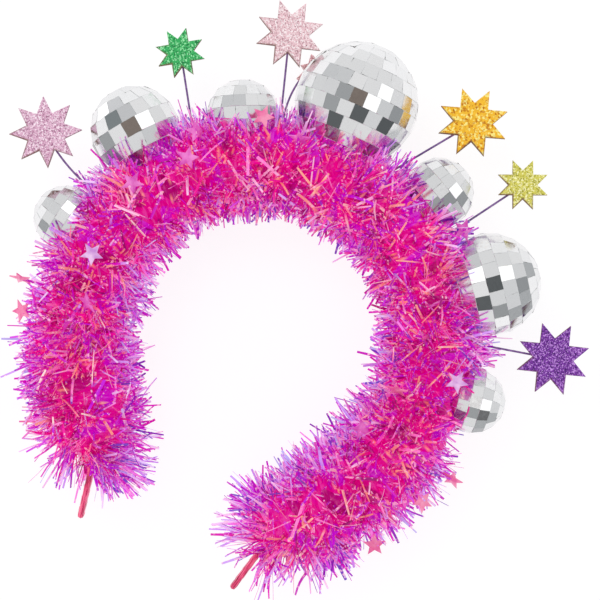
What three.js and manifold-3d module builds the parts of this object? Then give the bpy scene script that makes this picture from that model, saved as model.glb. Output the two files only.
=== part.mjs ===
// A party headband, lying flat as it rests on a table: a satin-wrapped alice band inside a wound
// tinsel garland, with seven mirror balls along its outer side, a glitter star on a wire in each gap
// between them, and small star sequins in the tinsel.
// Millimetres, +Z up, crown towards +Y. The origin is under the middle of its bounding box.
import * as THREE from "three";
import { mergeVertices } from "three/addons/utils/BufferGeometryUtils.js";
import Module from "manifold-3d";

const wasm = await Module();
wasm.setup();

const radians = THREE.MathUtils.degToRad;

// Band: its centreline is round over the head, then straight, then turned a little outwards.
const archRadius = 70.8;
const archHalfAngle = radians(122);
const legLength = 38;
const flareLength = 8;
const flareTurn = radians(20);
const tipLength = 16;
const bandWidth = 7;
const bandThickness = 2.4;
const bandChamfer = 0.7;
const bandSteps = 38;

// Clearance between pieces that touch.
const fitGap = 0.3;

// Garland: tinsel wound round the band, its locks standing on a tube with rounded ends. Each lock is
// a pyramid on its own patch of the tube; tip values are shares of garlandRadius and of the patch.
const garlandRadius = 27.4;
const garlandLegShare = 1.02;
const coreRadius = 14;
const coreNeckRadius = 4.6;
const coreEndLength = 9;
const locksAround = 13;
const locksAlong = 58;
const lockEndRows = 3;
const lockTwist = radians(9);
const lockTipSpread = 0.3;
const lockWander = 0.62;
const valleySpread = 0.1;

// Balls and stars are spaced along a line this far out from the band.
const ballLineOut = 28;

// Mirror balls: place is millimetres along that line from the crown; radius and cap are shares of
// ballRadius and capHeight. Rows of tiles run from pole to pole.
const ballRadius = 25;
const capHeight = 8.2;
const capStemRadius = 1.8;
const capPlateRadius = 3;
const capPlateHeight = 1.2;
const capSides = 6;
const cutColumns = 12;
const cutRows = 7;
const balls = [
  { place: -139.3, radius: 0.53, cap: 0.63, rows: 9, columns: 16 },
  { place: -92.8, radius: 0.73, cap: 0.93, rows: 9, columns: 16 },
  { place: -47.4, radius: 0.59, cap: 0.62, rows: 9, columns: 16 },
  { place: -3.1, radius: 1.0, cap: 1.0, rows: 13, columns: 26 },
  { place: 44.3, radius: 0.57, cap: 1.2, rows: 9, columns: 16 },
  { place: 87.3, radius: 0.83, cap: 0.6, rows: 11, columns: 18 },
  { place: 136.6, radius: 0.53, cap: 0.66, rows: 9, columns: 16 },
];

// Glitter stars on wires: foot and star are millimetres along the line of the balls, size and reach
// are shares of starRadius and wireReach, bow is the wire's sideways bulge as a share of its length,
// roll and turn are degrees that the star is turned about its wire and in its own plane.
const starRadius = 14.6;
const starNotch = 0.55;
const starPoints = 8;
const starThickness = 2;
const wireReach = 55;
const wireRadius = 0.55;
const wireSides = 5;
const wireSteps = 6;
const wireTurns = 2;
const bowPlace = 0.62;
const stars = [
  { foot: -118.6, star: -119.5, reach: 0.885, size: 1.0, bow: -0.15, roll: 4, turn: 0, colour: "lilac" },
  { foot: -72.9, star: -67.1, reach: 0.912, size: 0.7, bow: 0, roll: -5, turn: 0, colour: "green" },
  { foot: -30.7, star: -31.6, reach: 1.002, size: 0.96, bow: 0, roll: 4, turn: 0, colour: "pink" },
  { foot: 14.7, star: 34.1, reach: 0.998, size: 0.99, bow: 0, roll: -6, turn: 9, colour: "orange" },
  { foot: 62.9, star: 59.3, reach: 1.005, size: 0.73, bow: 0, roll: -4, turn: 11, colour: "yellow" },
  { foot: 107.1, star: 116.6, reach: 0.907, size: 1.03, bow: 0, roll: 3, turn: 5, colour: "purple" },
];

// The last star lies against the underside of a ball: bearing and dip are degrees round the ball from
// its right and down from its middle; bend and drop shape its wire, as shares of the wire's length.
const tuckedStar = { foot: -26.6, ball: 4, bearing: 162, dip: 30, size: 0.58, turn: 0, colour: "rose" };
const tuckedGap = 0.6;
const tuckedBend = 0.45;
const tuckedDrop = 0.03;

// Star sequins set in the garland: place is millimetres along the line of the balls; out and lift are
// the place across the garland as shares of its radius, away from the head and upwards.
const sequinRadius = 4.8;
const sequinNotch = 0.45;
const sequinPoints = 5;
const sequinThickness = 0.5;
const sequinStrandWidth = 1.3;
const sequins = [
  { place: -75.4, out: 0.25, lift: 0.86, pitch: 8, roll: -6, spin: 12, colour: "rose" },
  { place: -68, out: 0.6, lift: 0.62, pitch: -18, roll: 14, spin: 40, colour: "rose" },
  { place: -105.4, out: 0.3, lift: 0.84, pitch: 12, roll: 20, spin: 66, colour: "rose" },
  { place: -146.4, out: 0.04, lift: 0.9, pitch: -8, roll: 4, spin: -14, colour: "lilac" },
  { place: -172.5, out: -0.17, lift: 0.88, pitch: 42, roll: -20, spin: 30, colour: "rose" },
  { place: -170.7, out: 0.95, lift: 0.12, pitch: 66, roll: 10, spin: 24, colour: "coral" },
  { place: -183.6, out: 0.81, lift: 0.34, pitch: 18, roll: -26, spin: 50, colour: "coral" },
  { place: -38.2, out: 0.71, lift: 0.68, pitch: -6, roll: 10, spin: 4, colour: "coral" },
  { place: -20.5, out: 0.46, lift: 0.76, pitch: 58, roll: 8, spin: 20, colour: "rose" },
  { place: 62.7, out: 0.93, lift: 0.2, pitch: -10, roll: 16, spin: 8, colour: "rose" },
  { place: 129.2, out: 0.39, lift: 0.78, pitch: 10, roll: -8, spin: -6, colour: "lilac" },
  { place: 141.1, out: -0.42, lift: 0.76, pitch: 64, roll: 6, spin: 16, colour: "coral" },
  { place: 175.8, out: -0.6, lift: 0.6, pitch: 14, roll: 22, spin: 34, colour: "rose" },
  { place: 170.7, out: 0.94, lift: 0.1, pitch: 50, roll: -12, spin: 10, colour: "coral" },
  { place: 185.3, out: 0.75, lift: 0.5, pitch: -20, roll: 24, spin: 58, colour: "coral" },
  { place: 214.3, out: 0.85, lift: 0.06, pitch: 12, roll: 10, spin: 26, colour: "coral" },
];

const material = (color, roughness, metalness) =>
  new THREE.MeshStandardMaterial({ color, roughness, metalness });
const satin = material(0xc8407f, 0.45, 0.0);
const tinsel = material(0xd6208f, 0.3, 0.5);
const mirror = material(0xe4e6e8, 0.06, 1.0);
const capMetal = material(0xb9bcc0, 0.3, 1.0);
const wireEnamel = material(0x7a4d9c, 0.45, 0.2);
const glitter = {
  lilac: material(0xdeb7d0, 0.5, 0.3),
  green: material(0x2fae5b, 0.5, 0.3),
  pink: material(0xe9c6cf, 0.5, 0.3),
  rose: material(0xd88a94, 0.5, 0.3),
  orange: material(0xf0a52a, 0.5, 0.3),
  yellow: material(0xd6d35f, 0.5, 0.3),
  purple: material(0x7b3fa5, 0.5, 0.3),
};
const sequinFoil = {
  rose: material(0xee6fc0, 0.3, 0.1),
  lilac: material(0xc9b0e8, 0.3, 0.1),
  coral: material(0xfb6f86, 0.3, 0.1),
};

// A repeatable value from 0 to 1 for lock i.
const scatter = (i, seed) => {
  const wave = Math.sin(i * 12.9898 + seed * 78.233) * 43758.5453;
  return wave - Math.floor(wave);
};

// The solid of a closed geometry, in the frame that its vertices are in.
function solidOf(geometry) {
  const bare = new THREE.BufferGeometry();
  bare.setAttribute("position", geometry.getAttribute("position"));
  if (geometry.index) bare.setIndex(geometry.index);
  const merged = mergeVertices(bare, 1e-4);
  return new wasm.Manifold(
    new wasm.Mesh({
      numProp: 3,
      vertProperties: new Float32Array(merged.attributes.position.array),
      triVerts: new Uint32Array(merged.index.array),
    }),
  );
}

function geometryOf(solid) {
  const mesh = solid.getMesh();
  const geometry = new THREE.BufferGeometry();
  geometry.setAttribute("position", new THREE.BufferAttribute(mesh.vertProperties, mesh.numProp));
  geometry.setIndex(new THREE.BufferAttribute(mesh.triVerts, 1));
  const flat = geometry.toNonIndexed();
  flat.computeVertexNormals();
  return flat;
}

// Half of the band as runs from the crown: how long each is and how far it turns.
const bandRuns = [
  { length: archRadius * archHalfAngle, turn: archHalfAngle },
  { length: legLength, turn: 0 },
  { length: flareLength, turn: -flareTurn },
  { length: tipLength, turn: 0 },
];

// Where the band's centreline is at a distance along it from the crown, and which ways run along
// it and away from the head.
function bandPlace(along) {
  const side = Math.sign(along) || 1;
  let left = Math.abs(along);
  let heading = 0;
  let x = 0;
  let y = archRadius;
  bandRuns.forEach((run, i) => {
    const used = i === bandRuns.length - 1 ? left : Math.min(left, run.length);
    const turned = (run.turn * used) / run.length;
    const radius = run.length / run.turn;
    x += run.turn ? radius * (Math.sin(heading + turned) - Math.sin(heading)) : used * Math.cos(heading);
    y += run.turn ? radius * (Math.cos(heading + turned) - Math.cos(heading)) : -used * Math.sin(heading);
    heading += turned;
    left -= used;
  });
  return {
    point: new THREE.Vector3(side * x, y, 0),
    tangent: new THREE.Vector3(Math.cos(heading), -side * Math.sin(heading), 0),
    outward: new THREE.Vector3(side * Math.sin(heading), Math.cos(heading), 0),
  };
}

const archLength = archRadius * archHalfAngle;
const bandHalfLength = archLength + legLength + flareLength + tipLength;
const garlandHalfLength = archLength + garlandLegShare * legLength;
// The distance along the band of what lies at a place along the line of the balls.
const alongBand = (place) => (place * archRadius) / (archRadius + ballLineOut);

class BandLine extends THREE.Curve {
  getPoint(t, target = new THREE.Vector3()) {
    return target.copy(bandPlace((2 * t - 1) * bandHalfLength).point);
  }
}

// A frame on the band at a distance along it: X along the band, Y away from the head, Z up.
function bandFrame(along) {
  const { point, tangent, outward } = bandPlace(along);
  const up = new THREE.Vector3(0, 0, 1);
  return new THREE.Matrix4().makeBasis(tangent, outward, up).setPosition(point);
}

// The band's section, drawn with its width along X, its corners chamfered.
function bandSection(grow, chamfer) {
  const w = bandWidth / 2 + grow;
  const h = bandThickness / 2 + grow;
  const corner = (x, y) => [
    new THREE.Vector2(x * w, y * (h - chamfer)),
    new THREE.Vector2(x * (w - chamfer), y * h),
  ];
  const square = (x, y) => [new THREE.Vector2(x * w, y * h)];
  const make = chamfer > 0 ? corner : square;
  return [make(1, 1), make(-1, 1).reverse(), make(-1, -1), make(1, -1).reverse()].flat();
}

const bandRun = (grow, chamfer) =>
  new THREE.ExtrudeGeometry(new THREE.Shape(bandSection(grow, chamfer)), {
    steps: bandSteps,
    extrudePath: new BandLine(),
  });

// Tiles are the sphere's own facets, with one centred straight up and one straight down.
function ballSolid(ball) {
  const sphere = new THREE.SphereGeometry(ball.radius * ballRadius, ball.columns, ball.rows);
  return sphere.rotateY(Math.PI / ball.columns + Math.PI / 2);
}

// Room for a ball: a coarser sphere drawn round the outside of it.
function ballRoom(ball, grow) {
  const flats = Math.cos(Math.PI / cutColumns) * Math.cos(Math.PI / (2 * cutRows));
  const radius = (ball.radius * ballRadius + grow) / flats;
  return new THREE.SphereGeometry(radius, cutColumns, cutRows);
}

const ballCentre = (ball) =>
  bandThickness / 2 + 2 * fitGap + ball.cap * capHeight + ball.radius * ballRadius;

// How far a ball's lowest tile lies below its centre.
const tileDepth = (ball) =>
  ball.radius *
  ballRadius *
  Math.cos(Math.PI / (2 * ball.rows)) *
  Math.cos(Math.PI / ball.columns);

const bandHeight = Math.max(...balls.map(tileDepth));

// What holds a ball: a plate on the band and a stem to the ball's pole.
function capSolid(ball, grow) {
  const bottom = bandThickness / 2 + fitGap - grow;
  const top = ballCentre(ball) - ball.radius * ballRadius - fitGap + grow;
  const plateHeight = capPlateHeight + grow;
  const profile = [
    [0, bottom],
    [capPlateRadius + grow, bottom],
    [capPlateRadius + grow, bottom + plateHeight],
    [capStemRadius + grow, bottom + plateHeight],
    [capStemRadius + grow, top],
    [0, top],
  ];
  return new THREE.LatheGeometry(
    profile.map(([r, y]) => new THREE.Vector2(r, y)),
    capSides,
  );
}

const footFrame = (star) => bandFrame(alongBand(star.foot));
const ballFrame = (ball) => bandFrame(alongBand(ball.place));
const wireStart = () => new THREE.Vector3(0, bandThickness / 2 + fitGap + wireRadius, 0);

// The stem of a wire and the seat of its star, in the frame of the wire's foot.
function wireRun(star) {
  const foot = footFrame(star).invert();
  if (star === tuckedStar) return tuckedRun(foot);
  const angle = star.star / (archRadius + ballLineOut);
  const reach = archRadius + star.reach * wireReach;
  const end = new THREE.Vector3(reach * Math.sin(angle), reach * Math.cos(angle), 0).applyMatrix4(foot);
  const start = wireStart();
  const run = end.clone().sub(start);
  const sideways = new THREE.Vector3(run.y, -run.x, 0).multiplyScalar(star.bow);
  const middle = start.clone().addScaledVector(run, bowPlace - 0.5).lerp(end, 0.5).add(sideways);
  const line = new THREE.QuadraticBezierCurve3(start, middle, end);
  const away = line.getTangent(1);
  const up = new THREE.Vector3(0, 0, 1).applyAxisAngle(away, radians(star.roll));
  return { line, away, up };
}

// The tucked star faces its ball's centre, and its wire comes in along the star's own plane.
function tuckedRun(foot) {
  const ball = balls[tuckedStar.ball - 1];
  const toFoot = foot.clone().multiply(ballFrame(ball));
  const [bearing, dip] = [radians(tuckedStar.bearing), radians(tuckedStar.dip)];
  const outwards = new THREE.Vector3(
    Math.cos(bearing) * Math.cos(dip),
    Math.sin(bearing) * Math.cos(dip),
    -Math.sin(dip),
  );
  const distance = ball.radius * ballRadius + tuckedGap + starThickness + fitGap + wireRadius;
  const end = outwards.clone().multiplyScalar(distance).add(new THREE.Vector3(0, ballCentre(ball), 0));
  end.applyMatrix4(toFoot);
  const up = outwards.transformDirection(toFoot).negate();
  const start = wireStart();
  const run = end.clone().sub(start);
  const away = run.clone().projectOnPlane(up).normalize();
  const middle = end
    .clone()
    .addScaledVector(away, -tuckedBend * run.length())
    .addScaledVector(up, -tuckedDrop * run.length());
  return { line: new THREE.QuadraticBezierCurve3(start, middle, end), away, up };
}

// A wire in its foot's frame: turns round the band, fused to the stem.
function wireSolid(star, grow) {
  const inner = fitGap - grow;
  const outer = fitGap + 2 * wireRadius + grow;
  const ring = new THREE.Shape(bandSection(outer, 0));
  ring.holes.push(new THREE.Path(bandSection(inner, 0)));
  const length = 2 * wireRadius * wireTurns + 2 * grow;
  const turns = new THREE.ExtrudeGeometry(ring, { depth: length, bevelEnabled: false });
  turns.translate(0, 0, -length / 2);
  turns.rotateY(Math.PI / 2);
  const stem = new THREE.ExtrudeGeometry(roundShape(wireRadius + grow, wireSides), {
    steps: star.bow === 0 ? 1 : wireSteps,
    extrudePath: wireRun(star).line,
  });
  return geometryOf(solidOf(turns).add(solidOf(stem)));
}

// A regular outline with a corner towards +Y.
function roundShape(radius, sides) {
  const corner = (i) => {
    const angle = (2 * Math.PI * i) / sides + Math.PI / 2;
    return new THREE.Vector2(radius * Math.cos(angle), radius * Math.sin(angle));
  };
  return new THREE.Shape(Array.from({ length: sides }, (_, i) => corner(i)));
}

// A star outline with a notch towards -Y.
function starShape(radius, notch, points) {
  const corner = (i) => {
    const angle = (Math.PI * i) / points - Math.PI / 2;
    const reach = radius * (i % 2 ? 1 : notch);
    return new THREE.Vector2(reach * Math.cos(angle), reach * Math.sin(angle));
  };
  return new THREE.Shape(Array.from({ length: 2 * points }, (_, i) => corner(i)));
}

// A glitter star lies on its wire's end.
function starFrame(star) {
  const { line, away, up } = wireRun(star);
  const across = away.clone().cross(up);
  const seat = line.getPoint(1).addScaledVector(up, wireRadius + fitGap);
  return footFrame(star).multiply(new THREE.Matrix4().makeBasis(across, away, up).setPosition(seat));
}

function starSolid(star) {
  const outline = starShape(star.size * starRadius, starNotch, starPoints);
  const plate = new THREE.ExtrudeGeometry(outline, { depth: starThickness, bevelEnabled: false });
  return plate.rotateZ(radians(star.turn));
}

// A sequin's frame: Z runs from the band out through the sequin, X along the band.
function sequinFrame(sequin) {
  const frame = bandFrame(alongBand(sequin.place));
  const out = sequin.out * garlandRadius;
  const lift = sequin.lift * garlandRadius;
  const distance = Math.hypot(out, lift);
  const turn = new THREE.Matrix4().makeRotationX(Math.atan2(-out, lift));
  const shift = new THREE.Matrix4().makeTranslation(0, 0, distance);
  return { frame: frame.multiply(turn).multiply(shift), distance };
}

// A flat star and the foil strand that ties it to the garland, cut in one piece. The room for it is
// a plain disc and strand.
function sequinSolid(sequin, grow) {
  const { frame, distance } = sequinFrame(sequin);
  const thickness = sequinThickness + 2 * grow;
  const outline =
    grow > 0
      ? roundShape(sequinRadius + 2 * grow, sequinPoints)
      : starShape(sequinRadius, sequinNotch, sequinPoints);
  const plate = new THREE.ExtrudeGeometry(outline, { depth: thickness, bevelEnabled: false });
  plate.translate(0, 0, -thickness / 2);
  plate.rotateZ(radians(sequin.spin));
  const face = new THREE.Euler(radians(sequin.pitch), radians(sequin.roll), 0);
  plate.applyMatrix4(new THREE.Matrix4().makeRotationFromEuler(face));
  // The plate faces up or down whatever way its strand comes, so the frame's own turn is undone.
  const level = new THREE.Matrix4().extractRotation(frame).invert();
  plate.applyMatrix4(level);
  const strandLength = distance - coreRadius - fitGap + grow;
  const strand = new THREE.BoxGeometry(
    sequinStrandWidth + 2 * grow,
    sequinThickness + 2 * grow,
    strandLength,
  );
  strand.translate(0, 0, -strandLength / 2);
  return geometryOf(solidOf(plate).add(solidOf(strand)));
}

// A place on the tube that the locks stand on: row runs from one end of the garland to the other,
// column runs round it. Past each end the tube rounds in to a neck on the band.
function corePlace(row, column) {
  const flatRows = locksAlong - 2 * lockEndRows;
  const inner = THREE.MathUtils.clamp(row, lockEndRows, locksAlong - lockEndRows);
  const share = (2 * (inner - lockEndRows)) / flatRows - 1;
  const round = ((row - inner) / lockEndRows) * (Math.PI / 2);
  const straight = garlandHalfLength - coreEndLength;
  const along = share * straight + coreEndLength * Math.sin(round);
  const radius = coreNeckRadius + (coreRadius - coreNeckRadius) * Math.cos(round);
  const around = (2 * Math.PI * column) / locksAround + lockTwist * row;
  const { point, tangent, outward } = bandPlace(along);
  const spoke = new THREE.Vector3(0, 0, Math.cos(around)).addScaledVector(outward, Math.sin(around));
  const normal = spoke.clone().multiplyScalar(Math.cos(round)).addScaledVector(tangent, Math.sin(round));
  return { position: point.addScaledVector(spoke, radius), normal };
}

// The tube with a lock on each patch: four faces from the patch's corners to the lock's tip.
function lockedTube() {
  const positions = [];
  const faces = [];
  const corner = (row, column) => row * locksAround + (column % locksAround);
  for (let row = 0; row <= locksAlong; row++) {
    for (let column = 0; column < locksAround; column++) {
      const { position, normal } = corePlace(row, column);
      const dip = valleySpread * coreRadius * (2 * scatter(corner(row, column), 1) - 1);
      positions.push(position.addScaledVector(normal, dip));
    }
  }
  for (let row = 0; row < locksAlong; row++) {
    for (let column = 0; column < locksAround; column++) {
      const i = positions.length;
      const wander = (seed) => 0.5 + lockWander * (scatter(i, seed) - 0.5);
      const { position, normal } = corePlace(row + wander(2), column + wander(3));
      const reach = garlandRadius * (1 - lockTipSpread * scatter(i, 4) ** 2) - coreRadius;
      positions.push(position.addScaledVector(normal, reach));
      const round = [
        corner(row, column),
        corner(row + 1, column),
        corner(row + 1, column + 1),
        corner(row, column + 1),
      ];
      round.forEach((a, side) => faces.push(a, round[(side + 1) % 4], i));
    }
  }
  for (const row of [0, locksAlong]) {
    const middle = positions.length;
    const sum = new THREE.Vector3();
    for (let column = 0; column < locksAround; column++) {
      const [a, b] = [corner(row, column), corner(row, column + 1)];
      sum.add(positions[a]);
      faces.push(...(row ? [b, a, middle] : [a, b, middle]));
    }
    positions.push(sum.divideScalar(locksAround));
  }
  const geometry = new THREE.BufferGeometry().setFromPoints(positions);
  geometry.setIndex(faces);
  return geometry;
}

// The garland, cut clear of the band, the floor and all that is set in it.
function makeGarland(inserts) {
  const bandRoom = bandRun(fitGap, 0);
  const span = 4 * archRadius;
  const floor = new THREE.BoxGeometry(span, span, span).translate(0, 0, -span / 2 - bandHeight);
  let garland = solidOf(lockedTube()).subtract(solidOf(bandRoom)).subtract(solidOf(floor));
  for (const insert of inserts) {
    garland = garland.subtract(solidOf(insert.build(fitGap).applyMatrix4(insert.frame)));
  }
  const pieces = garland.decompose().sort((a, b) => b.volume() - a.volume());
  return geometryOf(pieces[0]);
}

function addMesh(group, name, geometry, finish, frame = new THREE.Matrix4()) {
  const mesh = new THREE.Mesh(geometry, finish);
  mesh.name = name;
  mesh.applyMatrix4(frame);
  group.add(mesh);
  return mesh;
}

const allStars = [...stars, tuckedStar];

// Everything that is set in the garland: its node name, finish, frame and shape.
function listInserts() {
  const inserts = [];
  balls.forEach((ball, i) => {
    const foot = ballFrame(ball);
    const centre = foot.clone().multiply(new THREE.Matrix4().makeTranslation(0, ballCentre(ball), 0));
    inserts.push({
      name: `mirror_ball_${i + 1}`,
      finish: mirror,
      frame: centre,
      build: (grow) => (grow > 0 ? ballRoom(ball, grow) : ballSolid(ball)),
    });
    inserts.push({
      name: `ball_cap_${i + 1}`,
      finish: capMetal,
      frame: foot,
      build: (grow) => capSolid(ball, grow),
    });
  });
  allStars.forEach((star) => {
    inserts.push({
      name: `star_wire_${star.colour}`,
      finish: wireEnamel,
      frame: footFrame(star),
      build: (grow) => wireSolid(star, grow),
    });
  });
  sequins.forEach((sequin, i) => {
    inserts.push({
      name: `sequin_${sequin.colour}_${i + 1}`,
      finish: sequinFoil[sequin.colour],
      frame: sequinFrame(sequin).frame,
      build: (grow) => sequinSolid(sequin, grow),
    });
  });
  return inserts;
}

function makeHeadband() {
  const lying = new THREE.Group();
  const inserts = listInserts();
  addMesh(lying, "band", bandRun(0, bandChamfer), satin);
  addMesh(lying, "tinsel_garland", makeGarland(inserts), tinsel);
  for (const insert of inserts) {
    addMesh(lying, insert.name, insert.build(0), insert.finish, insert.frame);
  }
  for (const star of allStars) {
    const name = `glitter_star_${star.colour}`;
    addMesh(lying, name, starSolid(star), glitter[star.colour], starFrame(star));
  }
  const box = new THREE.Box3().setFromObject(lying, true);
  const middle = box.getCenter(new THREE.Vector3());
  lying.position.set(-middle.x, -middle.y, -box.min.z);
  const headband = new THREE.Group();
  headband.add(lying);
  return headband;
}

export default makeHeadband();
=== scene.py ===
import bpy
import numpy as np
from mathutils import Matrix, Vector


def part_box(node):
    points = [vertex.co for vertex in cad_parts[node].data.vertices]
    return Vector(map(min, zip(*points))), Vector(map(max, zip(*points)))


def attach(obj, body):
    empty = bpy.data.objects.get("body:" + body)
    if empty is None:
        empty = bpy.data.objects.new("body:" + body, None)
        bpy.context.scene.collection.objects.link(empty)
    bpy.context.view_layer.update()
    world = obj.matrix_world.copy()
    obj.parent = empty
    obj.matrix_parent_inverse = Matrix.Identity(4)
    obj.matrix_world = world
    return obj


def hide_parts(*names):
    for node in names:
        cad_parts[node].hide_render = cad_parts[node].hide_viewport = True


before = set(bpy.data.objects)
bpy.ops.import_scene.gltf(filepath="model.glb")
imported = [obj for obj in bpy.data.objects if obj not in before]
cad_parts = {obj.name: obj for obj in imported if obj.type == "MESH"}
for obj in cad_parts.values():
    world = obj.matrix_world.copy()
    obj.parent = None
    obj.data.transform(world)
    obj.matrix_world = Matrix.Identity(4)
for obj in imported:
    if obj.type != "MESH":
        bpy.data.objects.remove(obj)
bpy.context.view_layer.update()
mm = 0.001
rng = np.random.default_rng(19)
zUp = np.array([0.0, 0.0, 1.0])

# lengths in millimetres, turns in degrees
band = {
    "archRadius": 70.8, "archTurn": 122, "leg": 38, "flare": 8, "flareTurn": -20, "tip": 16, "width": 7.0,
    "thickness": 2.4, "endLength": 1.4, "ribbonPitch": 4.6, "ribbonLift": 0.16, "ribbonWeave": 19,
}
# the runs are half of the band from the crown: length and turn
bandRuns = [
    (band["archRadius"] * np.radians(band["archTurn"]), band["archTurn"]),
    (band["leg"], 0),
    (band["flare"], band["flareTurn"]),
    (band["tip"], 0),
]
bandHalfLength = sum(length for length, turn in bandRuns)
bandOuter = band["archRadius"] + band["thickness"] / 2
bandLow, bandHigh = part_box("band")
bandCentre = np.array([
    (bandLow.x + bandHigh.x) / 2 / mm,
    bandHigh.y / mm - bandOuter,
    (bandLow.z + bandHigh.z) / 2 / mm,
])


def colour(red, green, blue):
    # the linear value of a screen colour: ((c + 0.055) / 1.055) to the power 2.4
    c = np.array([red, green, blue]) / 255
    linear = np.where(c <= 0.04045, c / 12.92, ((c + 0.055) / 1.055) ** 2.4)
    return (*linear.tolist(), 1.0)


def bandPlace(along):
    # walks the runs of the band: each is straight, or an arc whose radius is its length over its turn
    side = np.where(along < 0, -1.0, 1.0)
    left = np.abs(along)
    heading = np.zeros_like(left)
    x = np.zeros_like(left)
    y = np.full_like(left, band["archRadius"])
    for i, (length, turn) in enumerate(bandRuns):
        used = left if i == len(bandRuns) - 1 else np.minimum(left, length)
        if turn:
            radius = length / np.radians(turn)
            after = heading + used / radius
            x = x + radius * (np.sin(after) - np.sin(heading))
            y = y + radius * (np.cos(after) - np.cos(heading))
            heading = after
        else:
            x = x + used * np.cos(heading)
            y = y - used * np.sin(heading)
        left = left - used
    zero = np.zeros_like(left)
    point = np.stack([side * x, y, zero], -1) + bandCentre
    tangent = np.stack([np.cos(heading), -side * np.sin(heading), zero], -1)
    outward = np.stack([side * np.sin(heading), np.cos(heading), zero], -1)
    return point, tangent, outward


def archPlace(degrees, radius):
    # a point in the band's plane, by its angle round the arch from the crown and its radius
    turn = np.radians(degrees)
    return bandCentre + radius * np.array([np.sin(turn), np.cos(turn), 0.0])


def unit(vectors):
    return vectors / np.maximum(np.linalg.norm(vectors, axis=-1, keepdims=True), 1e-9)


def softPower(values, power):
    # a power that keeps the sign, which squares off a sine or a cosine
    return np.sign(values) * np.abs(values) ** power


def quarterRound(share):
    # the height of a quarter circle, 0 at share 0 and 1 at share 1
    return np.sqrt(1 - (1 - np.clip(share, 0, 1)) ** 2)


def addObject(name, data):
    thing = bpy.data.objects.new(name, data)
    bpy.context.scene.collection.objects.link(thing)
    return thing


def addPiece(name, points, faces, materials, node, smooth=True, pick=0):
    # whole arrays of points (mm) and of three- or four-cornered faces as one mesh, in place of a CAD node
    mesh = bpy.data.meshes.new(name)
    mesh.vertices.add(len(points))
    mesh.vertices.foreach_set("co", (points * mm).astype(np.float32).ravel())
    mesh.loops.add(faces.size)
    mesh.loops.foreach_set("vertex_index", faces.astype(np.int32).ravel())
    mesh.polygons.add(len(faces))
    mesh.polygons.foreach_set("loop_start", np.arange(0, faces.size, faces.shape[1], dtype=np.int32))
    mesh.polygons.foreach_set("use_smooth", np.full(len(faces), smooth))
    for material in materials:
        mesh.materials.append(material)
    mesh.polygons.foreach_set("material_index", np.broadcast_to(pick, len(faces)).astype(np.int32))
    mesh.update(calc_edges=True)
    piece = addObject(name, mesh)
    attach(piece, "root")
    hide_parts(node)
    return piece


def addValues(piece, **lists):
    # one attribute for each list of values at the points; a single number goes to all of them
    for name, values in lists.items():
        attribute = piece.data.attributes.new(name, "FLOAT", "POINT")
        values = np.broadcast_to(np.asarray(values, np.float32), len(piece.data.vertices))
        attribute.data.foreach_set("value", values.ravel())


def gridFaces(rows, columns):
    # four-cornered faces of a grid whose columns close on themselves
    row, column = np.meshgrid(np.arange(rows - 1), np.arange(columns), indexing="ij")
    after = (column + 1) % columns
    here, there = row * columns + column, row * columns + after
    return np.stack([here, there, there + columns, here + columns], -1).reshape(-1, 4)


def splitFaces(faces):
    # each four-cornered face as two triangles
    return np.concatenate([faces[:, [0, 1, 2]], faces[:, [0, 2, 3]]])


def closedTube(rings, sides):
    # triangles between rings of points, with the first and the last ring fanned shut on two points after them
    around = np.arange(sides)
    after = (around + 1) % sides
    last = (rings - 1) * sides
    low = np.stack([after, around, np.full(sides, rings * sides)], -1)
    high = np.stack([last + around, last + after, np.full(sides, rings * sides + 1)], -1)
    return np.concatenate([splitFaces(gridFaces(rings, sides)), low, high])


def ringTube(path, side, other, radii, sides):
    # circles of the given radii about the points of a path, each in the plane of two directions
    side, other = (np.broadcast_to(way, path.shape)[:, None] for way in (side, other))
    turn = np.linspace(0, 2 * np.pi, sides, endpoint=False)[None, :, None]
    points = path[:, None] + radii[:, None, None] * (np.cos(turn) * side + np.sin(turn) * other)
    return np.concatenate([points.reshape(-1, 3), path[:1], path[-1:]]), closedTube(len(path), sides)


def joinMeshes(meshes):
    # the points and faces of several meshes as one
    starts = np.cumsum([0] + [len(points) for points, faces in meshes[:-1]])
    points = np.concatenate([points for points, faces in meshes])
    return points, np.concatenate([faces + start for (_, faces), start in zip(meshes, starts)])


# camera first: it looks straight down, turned about its own axis, and sees 241.8 mm across at band height
view = {"centre": (9.05, 4.1), "width": 241.8, "lens": 110.0, "sensor": 36.0, "roll": 25.0}
lensData = bpy.data.cameras.new("camera")
lensData.lens = view["lens"]
lensData.sensor_width = view["sensor"]
lensData.clip_start = 0.01
camera = addObject("camera", lensData)
height = bandCentre[2] + view["width"] * view["lens"] / view["sensor"]
camera.matrix_world = (
    Matrix.Translation(Vector((*view["centre"], height)) * mm)
    @ Matrix.Rotation(np.radians(view["roll"]), 4, "Z")
)
bpy.context.scene.camera = camera
bpy.context.scene.view_settings.view_transform = "Standard"
print("camera set")

# picture directions in the part's frame
pictureTurn = np.radians(view["roll"])
pictureRight = np.array([np.cos(pictureTurn), np.sin(pictureTurn), 0.0])
pictureUp = np.array([-pictureRight[1], pictureRight[0], 0.0])


def pictureWay(right, up, high):
    return Vector((pictureRight * right + pictureUp * up + zUp * high).tolist())


def putIn(tree, socket, value):
    # links a value that comes out of another node, and otherwise sets it
    if isinstance(value, bpy.types.NodeSocket):
        tree.links.new(value, socket)
    else:
        socket.default_value = value


def feed(tree, node, **values):
    # a node's own settings, and its sockets by name with _ for a space
    for name, value in values.items():
        if hasattr(node, name):
            setattr(node, name, value)
        else:
            putIn(tree, node.inputs[name.replace("_", " ")], value)
    return node


def addNode(tree, kind, **values):
    return feed(tree, tree.nodes.new("ShaderNode" + kind), **values)


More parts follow.
